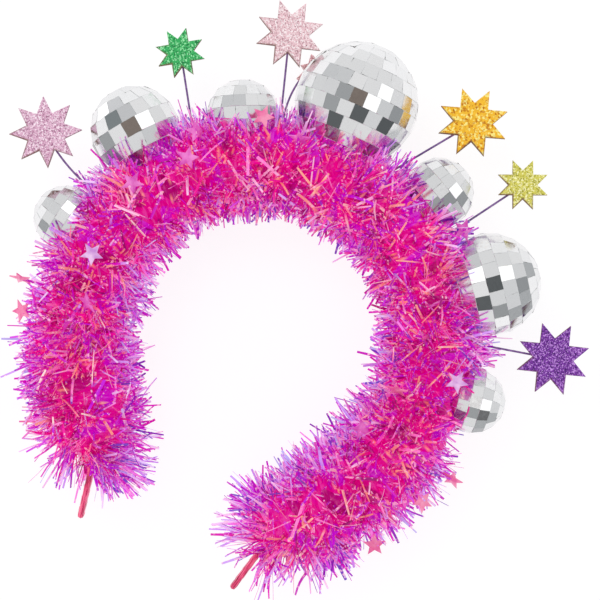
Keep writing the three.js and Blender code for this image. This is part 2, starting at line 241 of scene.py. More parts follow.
def vectorMath(tree, operation, *values):
    # vectors go in by the order of the node's inputs
    node = addNode(tree, "VectorMath", operation=operation)
    for socket, value in zip(node.inputs, values):
        putIn(tree, socket, value)
    return node


def ramped(tree, factor, stops, interpolation="LINEAR"):
    # a colour by where a value stands between stops, each a place and a screen colour
    ramp = addNode(tree, "ValToRGB", Fac=factor)
    ramp.color_ramp.interpolation = interpolation
    elements = ramp.color_ramp.elements
    while len(elements) < len(stops):
        elements.new(0.5)
    for element, (place, *tone) in zip(elements, stops):
        element.position = place
        element.color = colour(*tone)
    return ramp.outputs["Color"]


def mapped(tree, value, low, high, toLow=0.0, toHigh=1.0, way="LINEAR"):
    # carries a value from one range to another and holds it inside
    node = addNode(tree, "MapRange", interpolation_type=way, Value=value,
                   From_Min=low, From_Max=high, To_Min=toLow, To_Max=toHigh)
    return node.outputs["Result"]


def mixed(tree, factor, first, second):
    mix = addNode(tree, "Mix", data_type="RGBA", Factor=factor, A=first, B=second)
    return mix.outputs["Result"]


def attributeOf(tree, name):
    return addNode(tree, "Attribute", attribute_name=name).outputs["Fac"]


def objectPlace(tree):
    return addNode(tree, "TexCoord").outputs["Object"]


def noise(tree, scale, detail):
    # fine noise over a piece; scale is its cells in each metre
    return addNode(tree, "TexNoise", Vector=objectPlace(tree), Scale=scale, Detail=detail).outputs["Fac"]


def newGroup(name, inputs, outputs):
    # a shader group; its sockets are given as names with their kinds
    group = bpy.data.node_groups.new(name, "ShaderNodeTree")
    for way, sockets in (("INPUT", inputs), ("OUTPUT", outputs)):
        for socket, kind in sockets.items():
            group.interface.new_socket(socket, in_out=way, socket_type="NodeSocket" + kind)
    return group


def newMaterial(name, base, roughness, metallic=0.0, **values):
    material = bpy.data.materials.new(name)
    material.use_nodes = True
    tree = material.node_tree
    shader = feed(tree, tree.nodes["Principled BSDF"], Base_Color=colour(*base), Roughness=roughness,
                  Metallic=metallic, **values)
    return material, tree, shader


def noisePaint(name, base, roughness, metallic, scale, detail, stops, glow=0.0, **values):
    # a paint whose tone runs between stops with fine noise; glow is how strongly it shines in that tone
    paint, tree, shader = newMaterial(name, base, roughness, metallic, **values)
    tone = ramped(tree, noise(tree, scale, detail), stops)
    feed(tree, shader, Base_Color=tone)
    if glow:
        feed(tree, shader, Emission_Color=tone, Emission_Strength=glow)
    return paint


# floor and light: the floor's own glow keeps it near white; the patches are what the mirror tiles see
studio = {
    "floor": (124, 124, 124), "floorHalf": 3, "floorGlow": 0.85, "floorTint": (1.0, 0.995, 1.0, 1.0),
    "sky": 0.86, "keyPower": 2.4, "keySize": 0.8, "keyWay": (-0.45, 0.6, 1.1),
}
floorMesh = bpy.data.meshes.new("floor")
floorCorners = [(-1, -1, 0), (1, -1, 0), (1, 1, 0), (-1, 1, 0)]
floorMesh.from_pydata([Vector(corner) * studio["floorHalf"] for corner in floorCorners], [], [(0, 1, 2, 3)])
addObject("floor", floorMesh)
floorPaint, _, _ = newMaterial("paper_floor", studio["floor"], 0.9, Emission_Color=studio["floorTint"],
                               Emission_Strength=studio["floorGlow"])
floorMesh.materials.append(floorPaint)

world = bpy.data.worlds.new("studio")
bpy.context.scene.world = world
world.use_nodes = True
sky = world.node_tree
skyPlace = addNode(sky, "TexCoord").outputs["Generated"]


def skyPatch(base, tint, way, inner, outer):
    # mixes a tint in inside a cone about a direction, fading out between two angles in degrees
    dot = vectorMath(sky, "DOT_PRODUCT", skyPlace, pictureWay(*way).normalized())
    low, high = (float(np.cos(np.radians(angle))) for angle in (outer, inner))
    return mixed(sky, mapped(sky, dot.outputs["Value"], low, high, way="SMOOTHSTEP"), base, tint)


# tint, way in the picture, and the two angles
skyPatches = [
    ((0.84, 0.85, 0.86, 1.0), (0.9, -0.3, 0.6), 10, 60),
    ((0.78, 0.79, 0.8, 1.0), (-0.8, 0.9, 0.5), 8, 34),
    ((0.4, 0.39, 0.39, 1.0), (0.05, -0.1, 1.0), 6, 10),
    ((0.45, 0.43, 0.42, 1.0), (-0.35, -0.6, 1.0), 5, 11),
    ((0.42, 0.41, 0.41, 1.0), (1.0, -1.3, 0.8), 7, 14),
]
skyTone = (1.0, 1.0, 1.0, 1.0)
for patch in skyPatches:
    skyTone = skyPatch(skyTone, *patch)
feed(sky, sky.nodes["Background"], Color=skyTone, Strength=studio["sky"])

keyData = bpy.data.lights.new("softbox", "AREA")
keyData.shape = "DISK"
keyData.size = studio["keySize"]
keyData.energy = studio["keyPower"]
key = addObject("softbox", keyData)
keyPlace = pictureWay(*studio["keyWay"])
key.matrix_world = Matrix.Translation(keyPlace) @ keyPlace.to_track_quat("Z", "Y").to_matrix().to_4x4()
key.visible_camera = False
key.visible_glossy = False
print("studio set")

# mirror balls, from the left leg round to the right: radius and rows of tiles from pole to pole; the tiles
# that stand out are given by where they lie in the picture, right and up of the ball's middle in radii,
# with the tone of their painted reflection
ballTable = [
    {"radius": 13.25, "rows": 9, "tiles": [
        (0.14, 0.15, "white"), (0.35, -0.02, "white"), (-0.22, -0.15, "pale"), (-0.67, -0.34, "grey"),
    ]},
    {"radius": 18.25, "rows": 9, "tiles": [
        (-0.49, -0.04, "steel"), (0.04, -0.13, "brown"), (0.35, 0.02, "white"), (-0.61, 0.22, "white"),
        (-0.14, 0.2, "pale"), (-0.38, 0.59, "pale"),
    ]},
    {"radius": 14.75, "rows": 9, "tiles": [(0.05, 0.43, "pale")]},
    {"radius": 25.0, "rows": 13, "tiles": [
        (0.1, 0.03, "brown"), (0.0, -0.2, "dark"), (-0.26, -0.37, "dark"), (0.41, -0.37, "dark"),
        (0.44, 0.18, "white"), (0.24, 0.0, "white"), (-0.38, 0.2, "light"), (-0.52, -0.03, "grey"),
        (-0.14, -0.01, "grey"), (0.62, -0.23, "grey"), (0.64, 0.07, "light"),
    ]},
    {"radius": 14.25, "rows": 9, "tiles": [(0.38, 0.04, "white"), (0.56, -0.32, "grey"), (0.77, -0.09, "pale")]},
    {"radius": 20.75, "rows": 11, "tiles": [
        (0.15, 0.05, "dark"), (0.33, 0.22, "white"), (-0.25, 0.24, "white"), (-0.14, -0.42, "dark"),
        (-0.24, -0.12, "light"), (0.54, -0.14, "grey"), (0.48, -0.56, "grey"), (0.65, 0.28, "grey"),
    ]},
    {"radius": 13.25, "rows": 9, "tiles": [
        (-0.05, 0.01, "white"), (0.23, -0.11, "white"), (0.53, -0.38, "grey"), (0.36, -0.65, "grey"),
    ]},
]
tile = {
    "gap": 0.04, "bevel": 0.05, "depth": 1.1, "tilt": 1.1, "fewest": 6, "backing": 0.1,
    "backingShare": 0.72, "backingGrid": (25, 48),
}
# tile tones tint what each mirror tile reflects: the named tones are painted reflections; plain tiles differ a little
# at random
tileReflectionTones = {
    "dark": 0.0, "steel": 0.09, "brown": 0.17, "grey": 0.3, "pale": 0.5, "light": 0.9, "white": 1.0,
    "plain": 0.63, "plainSpread": 0.23, "darkShare": 0.01, "greyShare": 0.14,
}
for i, ball in enumerate(ballTable):
    low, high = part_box(f"mirror_ball_{i + 1}")
    ball["centre"] = np.array((low + high) / 2) / mm
    ball["pole"] = unit(np.array([*(ball["centre"] - bandCentre)[:2], 0.0]))

# the tiles' colour is their reflection tone, so their dark, brown, grey and white tiles are painted reflections
mirrorPaint, mirrorTree, mirrorShader = newMaterial("mirror_tiles", (238, 239, 240), 0.05, 1.0)
reflectionToneValue = attributeOf(mirrorTree, "shade")
mirrorReflectionStops = [
    (0.0, 98, 102, 104), (0.09, 140, 147, 149), (0.17, 134, 123, 116), (0.3, 164, 167, 169),
    (0.5, 212, 213, 215), (0.65, 228, 229, 230), (0.92, 240, 240, 241), (1.0, 255, 255, 255),
]
# the whitest tiles glow a little: a painted reflection of a bright light
feed(
    mirrorTree, mirrorShader, Emission_Strength=0.3,
    Base_Color=ramped(mirrorTree, reflectionToneValue, mirrorReflectionStops),
    Emission_Color=ramped(mirrorTree, reflectionToneValue, [(0.93, 0, 0, 0), (1.0, 255, 255, 255)]),
    Roughness=mapped(mirrorTree, noise(mirrorTree, 900.0, 3.0), 0.35, 0.8, 0.1, 0.26),
)
# the backing glows a little: painted light that keeps the joints between the tiles light; its dark flecks are chips
backingStops = [(0.38, 84, 80, 78), (0.42, 188, 189, 190), (0.62, 216, 217, 218)]
backingPaint = noisePaint("ball_backing", (205, 205, 205), 0.6, 0.0, 420.0, 2.0, backingStops, 0.22)


def sphereDirections(latitude, longitude, axes):
    # a direction from latitude and longitude about the first axis
    pole, side, up = axes
    flat = np.cos(latitude)[..., None] * (
        np.cos(longitude)[..., None] * up + np.sin(longitude)[..., None] * side
    )
    return flat + np.sin(latitude)[..., None] * pole


def makeBall(index, ball):
    # tiles stand in rows about the radial axis; each is a bevelled plate, turned a little at random
    centre, radius, rows = ball["centre"], ball["radius"], ball["rows"]
    axes = (ball["pole"], np.cross(ball["pole"], zUp), zUp)
    rowAngle = np.pi / rows
    low = -np.pi / 2 + rowAngle * np.arange(rows)
    counts = np.maximum(np.round(2 * np.pi * np.cos(low + rowAngle / 2) / rowAngle), tile["fewest"])
    counts[rows // 2] = 2 * rows
    row = np.repeat(np.arange(rows), counts.astype(int))
    width = 2 * np.pi / counts[row][:, None]
    place = np.concatenate([np.arange(n) for n in counts])
    phase = np.where(row == rows // 2, 0.5, rng.random(rows)[row])
    corners = np.array([(0, 0), (1, 0), (1, 1), (0, 1)])
    gap, bevel = tile["gap"], tile["bevel"]
    rings = []
    for inset, sink in ((gap, tile["depth"]), (gap, bevel * 0.7), (gap + bevel, 0)):
        edge = inset / radius
        latitude = low[row][:, None] + edge + (rowAngle - 2 * edge) * corners[:, 1]
        sideEdge = np.minimum(edge / np.maximum(np.cos(latitude), 0.12), 0.35 * width)
        longitude = (place + phase - 1.0)[:, None] * width + sideEdge
        longitude = longitude + (width - 2 * sideEdge) * corners[:, 0]
        rings.append(sphereDirections(latitude, longitude, axes) * (radius - sink))
    points = np.stack(rings, 1)
    middle = points[:, 2].mean(1)[:, None, None, :]
    spin = np.radians(tile["tilt"]) * rng.normal(size=(len(points), 1, 1, 3))
    points = points + np.cross(np.broadcast_to(spin, points.shape), points - middle)
    points = (points + centre).reshape(-1, 3)
    wall = np.array([[0, 1, 5, 4], [1, 2, 6, 5], [2, 3, 7, 6], [3, 0, 4, 7]])
    plate = np.concatenate([wall, wall + 4, [[8, 9, 10, 11]], [[3, 2, 1, 0]]])
    faces = (np.arange(len(row))[:, None, None] * 12 + plate).reshape(-1, 4)
    # tones, as painted reflections: plain ones a little lighter or darker at random; by chance painted dark or grey
    # reflections, more often low in the picture; and then the painted reflections that stand out
    facing = unit(middle[:, 0, 0])
    below = np.clip(0.4 - 1.3 * (facing @ pictureUp), 0, 1) * (facing[:, 2] > 0)
    chance = rng.random(len(row))
    tone = tileReflectionTones["plain"] + tileReflectionTones["plainSpread"] * rng.random(len(row))
    tone = np.where(chance < tileReflectionTones["darkShare"] * below, tileReflectionTones["dark"], tone)
    tone = np.where(chance > 1 - tileReflectionTones["greyShare"] * below, tileReflectionTones["grey"], tone)
    for right, high, name in ball["tiles"]:
        out = np.sqrt(1 - right**2 - high**2)
        tone[np.argmax(facing @ (right * pictureRight + high * pictureUp + out * zUp))] = tileReflectionTones[name]
    # the backing: a ball under the tiles
    high, wide = tile["backingGrid"]
    latitudes = np.linspace(-np.pi / 2, np.pi / 2, high)
    longitudes = np.linspace(0, 2 * np.pi, wide, endpoint=False)
    latitude, longitude = np.meshgrid(latitudes, longitudes, indexing="ij")
    depth = radius * np.cos(tile["backingShare"] * rowAngle) - tile["backing"]
    inner = sphereDirections(latitude, longitude, axes).reshape(-1, 3) * depth + centre
    shell = gridFaces(high, wide) + len(points)
    pick = np.concatenate([np.tile([1, 1, 1, 1, 0, 0, 0, 0, 0, 1], len(row)), np.ones(len(shell))])
    piece = addPiece(
        f"mirrorBall{index + 1}", np.concatenate([points, inner]), np.concatenate([faces, shell]),
        [mirrorPaint, backingPaint], f"mirror_ball_{index + 1}", smooth=False, pick=pick,
    )
    addValues(piece, shade=np.concatenate([np.repeat(tone, 12), np.ones(len(inner))]))


for i, ball in enumerate(ballTable):
    makeBall(i, ball)
print("mirror balls made")

# ball caps: a pressed metal cup, its rim on the band and its neck at the ball
cap = {"rim": 3.0, "neck": 1.8, "rimHeight": 1.2, "gap": 0.3, "round": 0.25, "hole": 0.05, "sides": 24}
capStops = [(0.3, 150, 152, 156), (0.7, 214, 215, 218)]
capPaint = noisePaint("pressed_metal", (190, 192, 196), 0.3, 1.0, 1400.0, 4.0, capStops)


def makeCap(index, ball):
    # a profile of radius and height turned about the line from the band to the ball
    foot = bandCentre + ball["pole"] * (bandOuter + cap["gap"])
    length = np.linalg.norm(ball["centre"] - foot) - ball["radius"] - cap["gap"]
    r, n, h, c, least = cap["rim"], cap["neck"], cap["rimHeight"], cap["round"], cap["hole"]
    profile = np.array([
        (least, 0), (r - c, 0), (r, c), (r, h - c), (r - c, h), (n + c, h), (n, h + c),
        (n, length - c), (n - c, length), (least, length),
    ])
    path = foot + profile[:, 1:] * ball["pole"]
    points, faces = ringTube(path, zUp, np.cross(ball["pole"], zUp), profile[:, 0], cap["sides"])
    addPiece(f"ballCap{index + 1}", points, faces, [capPaint], f"ball_cap_{index + 1}")


for i, ball in enumerate(ballTable):
    makeCap(i, ball)
print("ball caps made")

# tinsel colours: chance from 0 to 1 picks a film colour for a strand, one list for its body, one for
# where it sticks out past the garland, partly its own colour and partly painted light, the bright floor seen
# through thin film, and one for painted highlights, the patches where the film flashes; glint is the colour of
# painted glints
tinselColours = {
    "body": [
        (0.0, 182, 0, 124), (0.1, 220, 0, 150), (0.3, 208, 2, 198), (0.46, 242, 6, 164),
        (0.62, 198, 10, 222), (0.74, 246, 66, 192), (0.82, 158, 0, 120), (0.88, 255, 134, 214),
        (0.96, 255, 206, 236),
    ],
    "fringe": [
        (0.0, 200, 0, 200), (0.14, 220, 74, 234), (0.26, 224, 16, 196), (0.4, 212, 162, 250),
        (0.53, 238, 206, 254), (0.64, 142, 20, 186), (0.71, 122, 70, 200), (0.76, 190, 180, 244),
        (0.82, 250, 136, 234), (0.91, 250, 204, 252),
    ],
    "flash": [
        (0.0, 255, 166, 148), (0.28, 255, 188, 162), (0.48, 255, 144, 166), (0.62, 255, 226, 216),
        (0.82, 255, 176, 224),
    ],
    "glint": (255, 204, 226),
}


def foilGroup():
    # shared film tint: body colour, turned to the fringe colour and then to the painted highlight colour by two
    # masks; it is given with painted glints, bright specks from a voronoi pattern, and without
    group = newGroup("foilTint", {}, {"Color": "Color", "Plain": "Color", "Roughness": "Float"})
    chance = attributeOf(group, "chance")
    tint = ramped(group, chance, tinselColours["body"], "CONSTANT")
    for name in ("fringe", "flash"):
        tone = ramped(group, chance, tinselColours[name], "CONSTANT")
        tint = mixed(group, attributeOf(group, name), tint, tone)
    spots = addNode(group, "TexVoronoi", Vector=objectPlace(group), Scale=1150.0)
    parts = addNode(group, "SeparateColor", Color=spots.outputs["Color"])
    glintMask = mapped(group, parts.outputs["Red"], 0.84, 0.92, 0.0, 0.85)
    feed(
        group, group.nodes.new("NodeGroupOutput"), Plain=tint,
        Color=mixed(group, glintMask, tint, colour(*tinselColours["glint"])),
        Roughness=mapped(group, chance, 0.0, 1.0, 0.12, 0.34),
    )
    return group


foil = foilGroup()


def foilMaterial(name, tint, metallic, glow):
    # film that shows one of the group's two tints, and glows a little with it: painted light, for light coming
    # through the film and to keep the shaded depths of the tinsel from going dark
    material, tree, shader = newMaterial(name, (211, 45, 147), 0.3, metallic, Emission_Strength=glow,
                                         Specular_IOR_Level=0.8, Specular_Tint=(1.0, 0.8, 0.8, 1.0))
    film = addNode(tree, "Group", node_tree=foil).outputs
    feed(tree, shader, Base_Color=film[tint], Emission_Color=film[tint], Roughness=film["Roughness"])
    return material


foilPaint = foilMaterial("tinsel_foil", "Color", 0.3, 0.2)
corePaint = foilMaterial("tinsel_core", "Plain", 0.1, 0.26)

# tinsel: strands of film in tufts, from a wound core; lengths in mm, angles in degrees
tinsel = {
    "tufts": 800, "strandsInTuft": 27, "pieces": 5, "segments": 4,
    "halfLength": bandRuns[0][0] + 1.02 * band["leg"], "reach": 27.8, "longest": 27.0, "rootLow": 2.0,
    "rootHigh": 12.0, "tuftSpread": 2.5, "tuftLean": 20, "strandLean": 9, "steepest": 72, "layover": 62,
    "bend": 0.35, "endSplay": 66, "endLength": 16, "endReach": 14, "endThin": 0.3, "bareFrom": 6.5,
    "bareWidth": 2.5, "bareShare": 0.12, "ballGap": 0.5, "ballShare": 0.45, "underSequins": 0.87,
    "sequinRoom": 5.4, "sequinDrop": 1.2, "floorGap": 0.9, "partings": 30, "partingReach": 0.7,
    "partingAcross": 22, "alike": 0.75, "fringeBlend": 0.35, "width": 1.08, "thickness": 0.14,
    "broad": 0.15, "broadShare": 0.07, "outerMore": 0.14, "innerLess": 0.27, "evenAngle": 85,
    "fadeAngle": 30, "legShare": -0.25,
}
sequinNames = sorted(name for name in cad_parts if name.startswith("sequin_"))

# partings, where the garland's top lies open to the core: place along it in mm, place across it from -1 to 1
# and radius in mm
partings = np.stack([
    tinsel["halfLength"] * (2 * rng.random(tinsel["partings"]) - 1),
    1.4 * rng.random(tinsel["partings"]) - 0.7,
    3 + 2.5 * rng.random(tinsel["partings"]),
], -1)


def spokeFrame(along, around):
    # the point on the band, and the ways along it, out from it at an angle round it, and across both
    point, tangent, outward = bandPlace(along)
    spoke = np.cos(around)[..., None] * zUp + np.sin(around)[..., None] * outward
    return point, tangent, spoke, np.cross(tangent, spoke)


def sideReach(along, sideways):
    # round the crown the garland reaches further on its outer side than on its inner side; on the legs it is
    # a little the other way. sideways goes from -1, inward, to 1, outward
    angle = np.degrees(np.abs(along) / band["archRadius"])
    crown = np.clip((tinsel["evenAngle"] - angle) / tinsel["fadeAngle"], tinsel["legShare"], 1)
    return 1 + crown * sideways * np.where(sideways > 0, tinsel["outerMore"], tinsel["innerLess"])


def strandPaths(tufts, count):
    # each path leaves the core leaning off its spoke, most of all on top, where it lies over; a tuft's
    # strands share their place and most of their lean
    half = tinsel["halfLength"]
    tuft = np.repeat(np.arange(tufts), count)
    total = tufts * count
    along = half * (2 * rng.random(tufts) - 1)
    thinned = (half - np.abs(along) < tinsel["endLength"]) & (rng.random(tufts) < tinsel["endThin"])
    along = np.where(thinned, 0.88 * half * (2 * rng.random(tufts) - 1), along)
    along = np.clip(along[tuft] + tinsel["tuftSpread"] * rng.normal(size=total), -half, half)
    around = (2 * np.pi * rng.random(tufts))[tuft] + 0.17 * rng.normal(size=total)
    point, tangent, spoke, across = spokeFrame(along, around)
    nearEnd = np.clip(1 - (half - np.abs(along)) / tinsel["endLength"], 0, 1)
    upness = np.clip(spoke[:, 2], 0, 1)
    # lean, in degrees along the band and aside from it
    lean = tinsel["tuftLean"] * rng.normal(size=tufts)[tuft] + tinsel["strandLean"] * rng.normal(size=total)
    aside = 0.6 * tinsel["strandLean"] * rng.normal(size=total)
    layWay = (2 * np.pi * rng.random(tufts))[tuft] + 0.25 * rng.normal(size=total)
    lay = tinsel["layover"] * upness * (rng.random(tufts)[tuft] ** 0.6 * 0.75 + 0.25 * rng.random(total))
    lean = lean + lay * np.cos(layWay)
    aside = aside + lay * np.sin(layWay)
    lean = lean * (1 - nearEnd) + np.sign(along) * nearEnd * tinsel["endSplay"] * rng.random(total) ** 0.5
    steepest = tinsel["steepest"]
    slopes = [np.tan(np.radians(np.clip(angle, -steepest, steepest)))[:, None] for angle in (lean, aside)]
    way = unit(spoke + slopes[0] * tangent + slopes[1] * across)
    # how far out it starts, and how far out it gets
    root = tinsel["rootLow"] + (tinsel["rootHigh"] - tinsel["rootLow"]) * rng.random(total) * (1 - 0.6 * nearEnd)
    reach = tinsel["reach"] * (0.82 + 0.26 * rng.random(tufts))[tuft] * (0.56 + 0.5 * rng.random(total) ** 0.95)
    aboutParting = tinsel["partingAcross"] * (np.sin(around)[:, None] - partings[:, 1])
    short = (np.hypot(along[:, None] - partings[:, 0], aboutParting) < partings[:, 2]).any(1) & (upness > 0)
    reach = reach * np.where(short, tinsel["partingReach"], 1)
    reach = reach * sideReach(along, (way * bandPlace(along)[2]).sum(-1))
    straight = (way * spoke).sum(-1)
    length = np.sqrt(np.maximum(reach**2 - root**2 * (1 - straight**2), 20.0)) - root * straight
    length = np.minimum(length, tinsel["longest"])
    past = np.abs(along) + length * np.abs((way * tangent).sum(-1)) - half - tinsel["endReach"]
    length = length * np.clip(1 - past / np.maximum(length, 1), 0.35, 1)
    turnWay = unit(np.cross(way, rng.normal(size=(total, 3))))
    bend = tinsel["bend"] * rng.normal(size=total)
    steps = tinsel["segments"]
    here = point + spoke * root[:, None]
    path = [here]
    for k in range(steps):
        heading = unit(way + turnWay * (bend * (k + 0.5) / steps * 2)[:, None])
        here = here + heading * (length / steps)[:, None]
        path.append(here)
    return np.stack(path, 1), point, tuft


# loose lengths of film that lie across the garland, in mm; spread is added by chance
laid = {
    "count": 820, "top": 28.5, "endGap": 6, "radius": 14.5, "radiusSpread": 6, "length": 7,
    "lengthSpread": 9, "rise": 0.06, "riseSpread": 0.2, "turn": 0.75, "sag": 0.2,
}


def laidPaths():
    # each leaves a point near the garland's surface almost flat to it, and sags a little
    total = laid["count"]
    half = tinsel["halfLength"] - laid["endGap"]
    along = half * (2 * rng.random(total) - 1)
    around = 2 * np.pi * rng.random(total)
    point, tangent, spoke, across = spokeFrame(along, around)
    turn = (np.pi / 2 * np.sign(np.sin(around)) + laid["turn"] * rng.normal(size=total))[:, None]
    rise = (laid["rise"] + laid["riseSpread"] * rng.random(total))[:, None]
    way = unit(np.cos(turn) * tangent + np.sin(turn) * across + rise * spoke)
    radius = (laid["radius"] + laid["radiusSpread"] * rng.random(total)) * sideReach(along, np.sin(around))
    start = point + spoke * radius[:, None]
    length = (laid["length"] + laid["lengthSpread"] * rng.random(total))[:, None]
    sag = laid["sag"] * rng.normal(size=(total, 1))
    shares = np.arange(tinsel["segments"] + 1) / tinsel["segments"]
    path = np.stack([start + way * length * share + spoke * sag * length * share**2 for share in shares], 1)
    path[..., 2] = np.minimum(path[..., 2], bandCentre[2] + laid["top"])
    return path, point, np.arange(total)


def endSooner(path, inside, share):
    # from its first point inside something, a strand goes on by only a share of each step
    for k in range(1, path.shape[1]):
        shorter = path[:, k - 1] + share * (path[:, k] - path[:, k - 1])
        path[:, k] = np.where(inside[:, :k + 1].any(1)[:, None], shorter, path[:, k])
    return path


def combAside(path, floorGap):
    # strands are pressed out of the balls, up off the floor and down under most of the sequins; they end
    # sooner at the balls and at the band's bare ends
    for ball in ballTable:
        offset = path - ball["centre"]
        distance = np.linalg.norm(offset, axis=-1, keepdims=True)
        clear = ball["radius"] + tinsel["ballGap"]
        inside = distance < clear
        path = np.where(inside, ball["centre"] + offset / np.maximum(distance, 1e-6) * clear, path)
        path = endSooner(path, inside[..., 0], tinsel["ballShare"])
    bare = np.linspace(tinsel["halfLength"] + tinsel["bareFrom"], bandHalfLength + 2, 12)
    for spot in bandPlace(np.concatenate([-bare, bare]))[0]:
        distance = np.linalg.norm(path[..., :2] - spot[:2], axis=-1)
        path = endSooner(path, distance < tinsel["bareWidth"], tinsel["bareShare"])
    under = rng.random(len(path)) < tinsel["underSequins"]
    for name in sequinNames:
        low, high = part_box(name)
        middle = np.array((low + high) / 2)[:2] / mm
        top = high.z / mm - tinsel["sequinDrop"]
        near = np.linalg.norm(path[..., :2] - middle, axis=-1) < tinsel["sequinRoom"]
        path[..., 2] = np.where(near & (path[..., 2] > top) & under[:, None], top, path[..., 2])
    path[..., 2] = np.maximum(path[..., 2], tinsel["floorGap"] + floorGap)
    return path


def strandMesh(path):
    # three points round each step of the path: the two edges of the strip and its ridge
    count, rings = path.shape[:2]
    heading = unit(np.gradient(path, axis=1))
    across = unit(np.cross(heading, rng.normal(size=(count, 1, 3))))
    raised = np.cross(heading, across)
    share = np.linspace(0, 1, rings)
    width = tinsel["width"] * (0.6 + 0.62 * rng.random((count, 1))) * (1 - 0.25 * share**3)
    width = width * (1 + tinsel["broad"] * (rng.random((count, 1)) < tinsel["broadShare"]))
    half = (width / 2)[..., None] * across
    points = np.stack([path - half, path + half, path + tinsel["thickness"] * raised], 2)
    base = (np.arange(count)[:, None, None, None] * rings + np.arange(rings - 1)[None, :, None, None]) * 3
    wall = np.array([[0, 1, 4], [0, 4, 3], [1, 2, 5], [1, 5, 4], [2, 0, 3], [2, 3, 5]])
    first = np.arange(count)[:, None] * rings * 3
    ends = np.concatenate([first + np.array([0, 2, 1]), first + (rings - 1) * 3 + np.array([0, 1, 2])])
    return points.reshape(-1, 3), np.concatenate([(base + wall).reshape(-1, 3), ends])


def fringeMask(path, point):
    # how far a point stands out sideways from the band, as 0 inside the garland to 1 past its edge
    out = np.linalg.norm((path - point[:, None])[..., :2], axis=-1) / tinsel["reach"]
    ends = bandPlace(np.array([-1, 1]) * tinsel["halfLength"])[0]
    apart = np.linalg.norm(point[:, None] - ends, axis=-1).min(1)
    nearEnd = np.clip(1 - apart / tinsel["endLength"], 0, 1)[:, None]
    return np.clip((out - 0.33 + 0.24 * nearEnd) / 0.5, 0, 1) ** 1.2


def flashMask(tuft, rings, share):
    # painted highlights on the outer part of some strands, from a step that changes from strand to strand;
    # some tufts get far more of them than others
    start = rng.integers(rings - 1, size=(len(tuft), 1))
    shares = share * (0.3 + 2.8 * (rng.random(tuft.max() + 1) < 0.25))[tuft]
    return ((np.arange(rings) >= start) & (rng.random(len(tuft)) < shares)[:, None]).astype(float)


def addTinsel(name, path, point, tuft, share):
    # most strands take the colour of their tuft, but not where they stand out past the garland; each turns
    # to its fringe colour, partly painted light, at a place of its own; share is how many strands get painted
    # highlights
    count, rings = path.shape[:2]
    path = combAside(path, 0.8 * rng.random((count, rings)))
    points, faces = strandMesh(path)
    piece = addPiece(name, points, faces, [foilPaint], "tinsel_garland", smooth=False)
    alike = (rng.random(tuft.max() + 1)[tuft] + 0.07 * rng.normal(size=count)) % 1.0
    own = rng.random(count)
    shared = np.where(rng.random(count) < tinsel["alike"], alike, own)
    turnsAt = (7 * own[:, None]) % 1.0
    fringe = np.clip((fringeMask(path, point) - turnsAt) / tinsel["fringeBlend"] + 0.5, 0, 1)
    chance = np.where(fringe > 0.45, own[:, None], shared[:, None])
    flash = flashMask(tuft, rings, share) * (1 - 0.9 * fringe)
    addValues(piece, chance=np.repeat(chance, 3), fringe=np.repeat(fringe, 3), flash=np.repeat(flash, 3))


for part in range(tinsel["pieces"]):
    addTinsel(f"tinsel{part + 1}", *strandPaths(tinsel["tufts"] // tinsel["pieces"], tinsel["strandsInTuft"]), 0.09)
# most of the loose lengths get painted highlights
addTinsel("tinselLaid", *laidPaths(), 0.8)

core = {"radius": 15.5, "ripple": 1.6, "endGap": 3, "endLength": 13.0, "rings": 420, "sides": 40}


def makeCore():
    # the wound film under the strands: a rippled tube round the band, its ends drawn in
    rings, sides = core["rings"], core["sides"]
    half = tinsel["halfLength"] - core["endGap"]
    along = np.repeat(np.linspace(-half, half, rings), sides)
    around = np.tile(np.linspace(0, 2 * np.pi, sides, endpoint=False), rings)
    point, tangent, spoke, across = spokeFrame(along, around)
    ripple = core["ripple"] * (
        np.sin(0.9 * along + 3 * around) + 0.6 * np.sin(0.47 * along - 5 * around) + 0.8 * rng.normal(size=len(along))
    ) * 0.5
    radius = (core["radius"] + ripple) * (0.15 + 0.85 * quarterRound((half - np.abs(along)) / core["endLength"]))
    radius = radius * sideReach(along, np.sin(around))
    points = combAside((point + spoke * radius[:, None])[:, None], 0.5)[:, 0]
    points = np.concatenate([points, bandPlace(np.array([-half, half]))[0]])
    faces = closedTube(rings, sides)
    piece = addPiece("tinselCore", points, faces, [corePaint], "tinsel_garland", smooth=False)
    wave = np.sin(0.31 * along + 2 * around) * np.sin(0.17 * along - around)
    chance = np.concatenate([0.17 + 0.18 * np.sin(around) ** 2 + 0.18 * wave, [0.1, 0.1]])
    # a few points of the core get painted highlights
    addValues(piece, chance=chance, fringe=0.0, flash=rng.random(len(points)) < 0.03)


makeCore()
print("tinsel made")

# band: a rounded strap with satin ribbon wound round it on a slant
# the satin's deep and light tones are painted shade and painted sheen, in long streaks along the ribbon, and it glows
# a little with its tone: painted light
satin = {"deep": (138, 2, 52), "mid": (214, 30, 96), "light": (255, 112, 150), "weave": 0.22}
satinPaint, satinTree, satinShader = newMaterial(
    "satin_ribbon", satin["mid"], 0.38, Emission_Strength=0.16, Sheen_Weight=0.1, Anisotropic=0.4,
)
satinPlace = addNode(satinTree, "UVMap", uv_map="wrap").outputs["UV"]
satinWeave = addNode(satinTree, "TexWave", wave_type="BANDS", bands_direction="Y", Vector=satinPlace,
                     Scale=9.0, Distortion=0.6)
satinStretch = addNode(satinTree, "Mapping", Vector=satinPlace, Scale=(0.1, 0.42, 1.0))
satinSheenStreak = addNode(satinTree, "TexNoise", Vector=satinStretch.outputs["Vector"], Scale=1.6, Detail=3.0)
satinSheenStops = [(0.36, *satin["deep"]), (0.48, *satin["mid"]), (0.6, *satin["light"])]
satinSheenTone = ramped(satinTree, satinSheenStreak.outputs["Fac"], satinSheenStops)
satinBump = addNode(satinTree, "Bump", Strength=satin["weave"], Distance=0.0002, Height=satinWeave.outputs["Fac"])
feed(satinTree, satinShader, Base_Color=satinSheenTone, Emission_Color=satinSheenTone, Normal=satinBump.outputs["Normal"])


